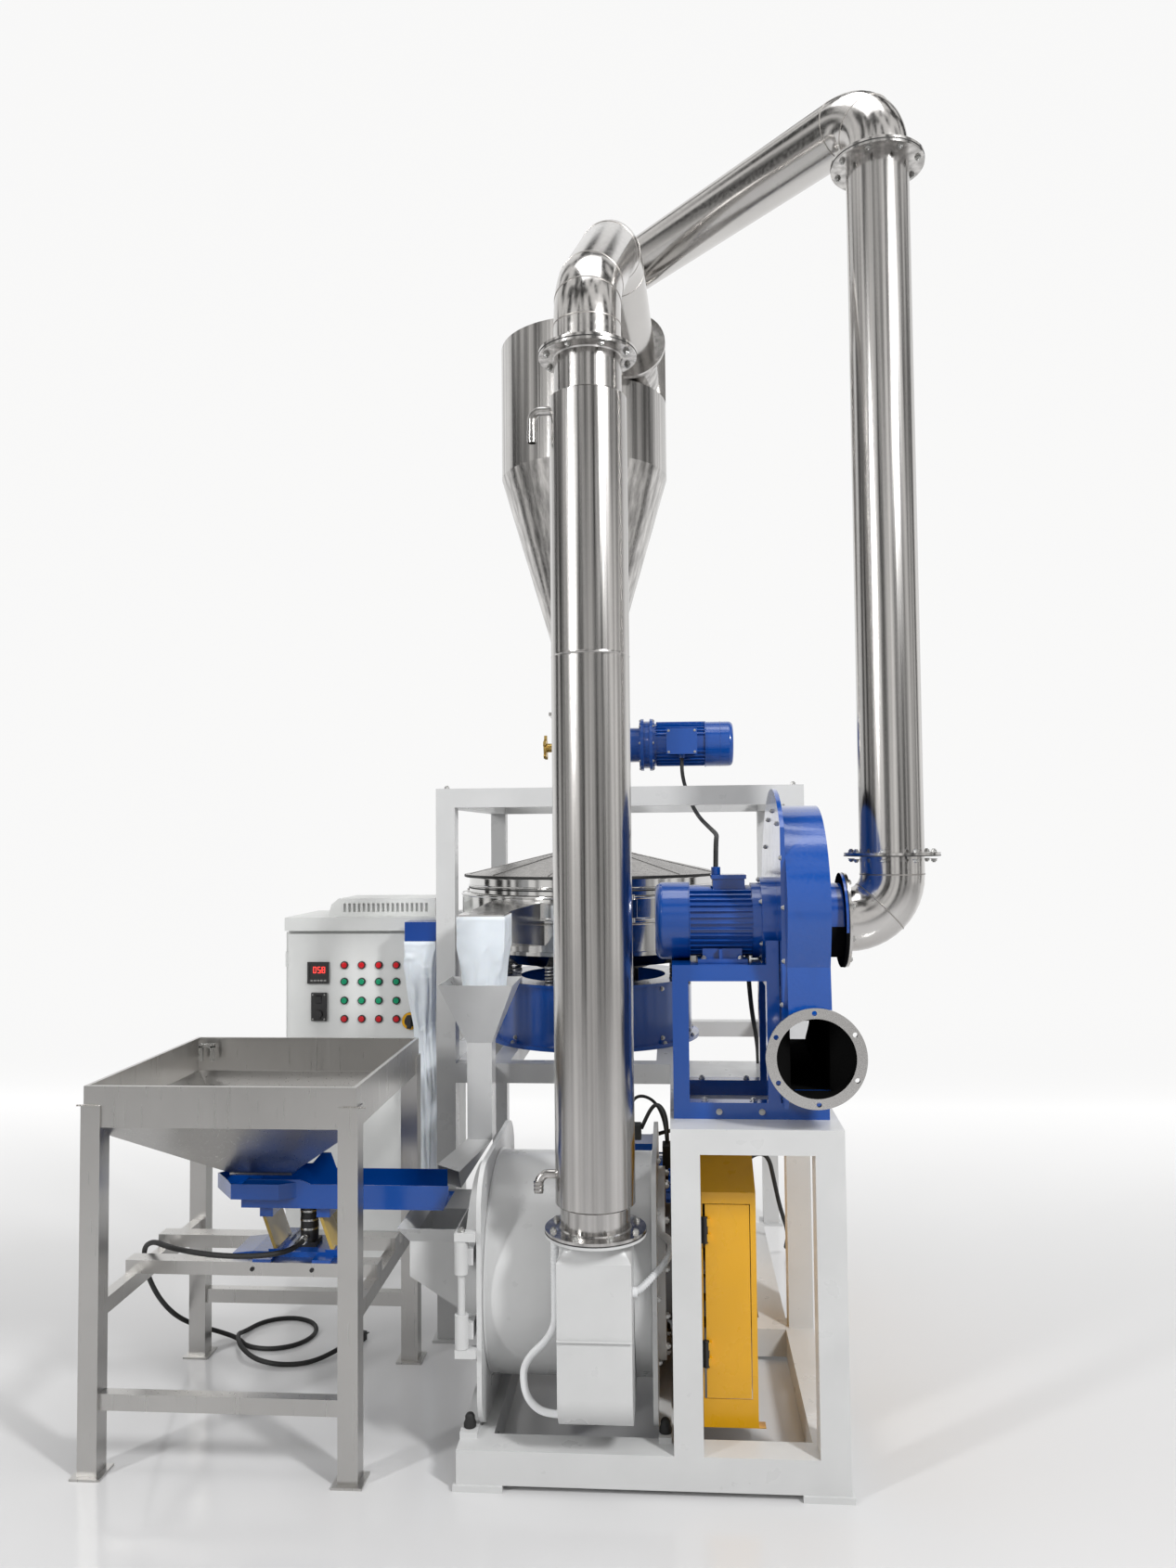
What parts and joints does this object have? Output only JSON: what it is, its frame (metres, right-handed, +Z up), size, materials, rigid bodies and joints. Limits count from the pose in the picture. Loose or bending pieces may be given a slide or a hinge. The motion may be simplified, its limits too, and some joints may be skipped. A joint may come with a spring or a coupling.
{
  "type": "pulverizer mill",
  "caption": "Air-swept pulverizer set: feed hopper and vibrating tray, disc mill, riser pipe, cyclone, rotary valve, suction fan, round sieve and control cabinet",
  "frame": {"origin": "On the floor, under the middle of the whole machine", "axes": "+Z is up, the front with the riser pipe and the fan outlet faces -Y, the feeder is at -X and the fan at +X"},
  "size_m": [2.191, 2.078, 3.6075],
  "materials": {
    "feed_steel": "brushed",
    "duct_steel": "polished along its length",
    "blue_paint": "gloss",
    "pale_paint": "satin",
    "cabinet_paint": "fine texture",
    "yellow_paint": "gloss",
    "black_plastic": "matt",
    "green_plastic": "gloss",
    "red_plastic": "gloss",
    "iron": "machined",
    "belt_rubber": "matt",
    "cord_rubber": "smooth",
    "spring_metal": "plain",
    "turned_steel": "turned",
    "hose_plastic": "smooth",
    "coil_shell": "satin",
    "sleeve_cloth": "thin woven"
  },
  "bodies": {
    "frame": {"feeder_stand": "feed_steel", "feed_hopper": "feed_steel", "riser_pipe": "duct_steel", "cyclone_inlet_duct": "duct_steel", "cyclone": "duct_steel", "cyclone_cone": "duct_steel", "cyclone_inlet": "duct_steel", "cyclone_outlet_duct": "duct_steel", "fan_riser": "duct_steel", "fan_inlet_elbow": "duct_steel", "fan_outlet": "duct_steel", "rotary_valve": "duct_steel", "feeder_base": "blue_paint", "sieve_base": "blue_paint", "fan_casing": "blue_paint", "fan_base": "blue_paint", "fan_motor": "blue_paint", "valve_gearmotor": "blue_paint", "main_motor": "blue_paint", "mill_base": "pale_paint", "mill_housing": "pale_paint", "discharge_duct": "pale_paint", "return_funnel": "pale_paint", "return_chute": "pale_paint", "sieve_stand": "pale_paint", "cabinet_body": "cabinet_paint", "belt_guard": "yellow_paint", "feeder_plug": "black_plastic", "bearing_housing": "iron", "drive_belts": "belt_rubber", "feeder_cord": "cord_rubber", "feeder_springs": "spring_metal", "sieve_springs": "spring_metal", "cooling_hose_left": "hose_plastic", "feeder_magnet": "coil_shell"},
    "tray": {"feeder_tray": "blue_paint"},
    "sieve": {"sieve_deck": "duct_steel", "deck_spouts": "blue_paint", "sieve_cover": "duct_steel", "product_sleeve": "sleeve_cloth", "return_sleeve": "sleeve_cloth"},
    "mill_door": {"mill_door": "pale_paint"},
    "guard_door": {"belt_guard_door": "yellow_paint"},
    "cabinet_door": {"cabinet_door": "cabinet_paint", "panel_instruments": "black_plastic", "indicator_lamps": "red_plastic"},
    "rocker": {"controller_rocker": "black_plastic"},
    "main_switch": {"main_switch_handle": "black_plastic"},
    "rotor": {"mill_rotor": "turned_steel"},
    "drive_pulley": {"motor_pulley": "iron"},
    "impeller": {"fan_impeller": "turned_steel"},
    "valve_rotor": {"valve_rotor": "turned_steel"},
    "start_button_1": {"start_button_1": "green_plastic"},
    "start_button_2": {"start_button_2": "green_plastic"},
    "start_button_3": {"start_button_3": "green_plastic"},
    "start_button_4": {"start_button_4": "green_plastic"},
    "stop_button_1": {"stop_button_1": "red_plastic"},
    "stop_button_2": {"stop_button_2": "red_plastic"},
    "stop_button_3": {"stop_button_3": "red_plastic"},
    "stop_button_4": {"stop_button_4": "red_plastic"}
  },
  "joints": [
    {"name": "tray_shake", "type": "slide", "parent": "frame", "child": "tray", "axis": [0.9397, 0, 0.342], "range_m": [-0.0015, 0.0015], "stiffness_N_per_m": 40000, "deforming": ["feeder_springs"]},
    {"name": "sieve_shake", "type": "slide", "parent": "frame", "child": "sieve", "axis": [0, 0, 1], "range_m": [-0.003, 0.003], "stiffness_N_per_m": 200000, "deforming": ["sieve_springs"]},
    {"name": "mill_door_hinge", "type": "hinge", "parent": "frame", "child": "mill_door", "pos_m": [-0.132, -0.88, 0.43], "axis": [0, 0, 1], "range_deg": [0, 7]},
    {"name": "guard_door_hinge", "type": "hinge", "parent": "frame", "child": "guard_door", "pos_m": [0.466, -0.802, 0.402], "axis": [0, 0, 1], "range_deg": [-90, 0]},
    {"name": "cabinet_door_hinge", "type": "hinge", "parent": "frame", "child": "cabinet_door", "pos_m": [-1.051, 0.513, 0.65], "axis": [0, 0, 1], "range_deg": [-4, 0]},
    {"name": "controller_rocker_tilt", "type": "hinge", "parent": "cabinet_door", "child": "rocker", "pos_m": [-0.923, 0.497, 0.96], "axis": [1, 0, 0], "range_deg": [-12, 0]},
    {"name": "main_switch_turn", "type": "hinge", "parent": "cabinet_door", "child": "main_switch", "pos_m": [-0.578, 0.492, 0.88], "axis": [0, 1, 0], "range_deg": [0, 90]},
    {"name": "rotor_spin", "type": "hinge", "parent": "frame", "child": "rotor", "pos_m": [0.2, -0.58, 0.42], "axis": [1, 0, 0], "continuous": true},
    {"name": "drive_pulley_spin", "type": "hinge", "parent": "frame", "child": "drive_pulley", "pos_m": [0.52, 0.128, 0.335], "axis": [1, 0, 0], "continuous": true},
    {"name": "impeller_spin", "type": "hinge", "parent": "frame", "child": "impeller", "pos_m": [0.7, -0.685, 1.336], "axis": [1, 0, 0], "continuous": true},
    {"name": "valve_rotor_spin", "type": "hinge", "parent": "frame", "child": "valve_rotor", "pos_m": [0.095, 0.405, 1.88], "axis": [1, 0, 0], "continuous": true},
    {"name": "start_button_1_press", "type": "slide", "parent": "cabinet_door", "child": "start_button_1", "axis": [0, 1, 0], "range_m": [0, 0.004], "stiffness_N_per_m": 400},
    {"name": "start_button_2_press", "type": "slide", "parent": "cabinet_door", "child": "start_button_2", "axis": [0, 1, 0], "range_m": [0, 0.004], "stiffness_N_per_m": 400},
    {"name": "start_button_3_press", "type": "slide", "parent": "cabinet_door", "child": "start_button_3", "axis": [0, 1, 0], "range_m": [0, 0.004], "stiffness_N_per_m": 400},
    {"name": "start_button_4_press", "type": "slide", "parent": "cabinet_door", "child": "start_button_4", "axis": [0, 1, 0], "range_m": [0, 0.004], "stiffness_N_per_m": 400},
    {"name": "stop_button_1_press", "type": "slide", "parent": "cabinet_door", "child": "stop_button_1", "axis": [0, 1, 0], "range_m": [0, 0.004], "stiffness_N_per_m": 400},
    {"name": "stop_button_2_press", "type": "slide", "parent": "cabinet_door", "child": "stop_button_2", "axis": [0, 1, 0], "range_m": [0, 0.004], "stiffness_N_per_m": 400},
    {"name": "stop_button_3_press", "type": "slide", "parent": "cabinet_door", "child": "stop_button_3", "axis": [0, 1, 0], "range_m": [0, 0.004], "stiffness_N_per_m": 400},
    {"name": "stop_button_4_press", "type": "slide", "parent": "cabinet_door", "child": "stop_button_4", "axis": [0, 1, 0], "range_m": [0, 0.004], "stiffness_N_per_m": 400}
  ],
  "couplings": [
    {"joint": "drive_pulley_spin", "follows": "rotor_spin", "ratio": 0.75}
  ]
}
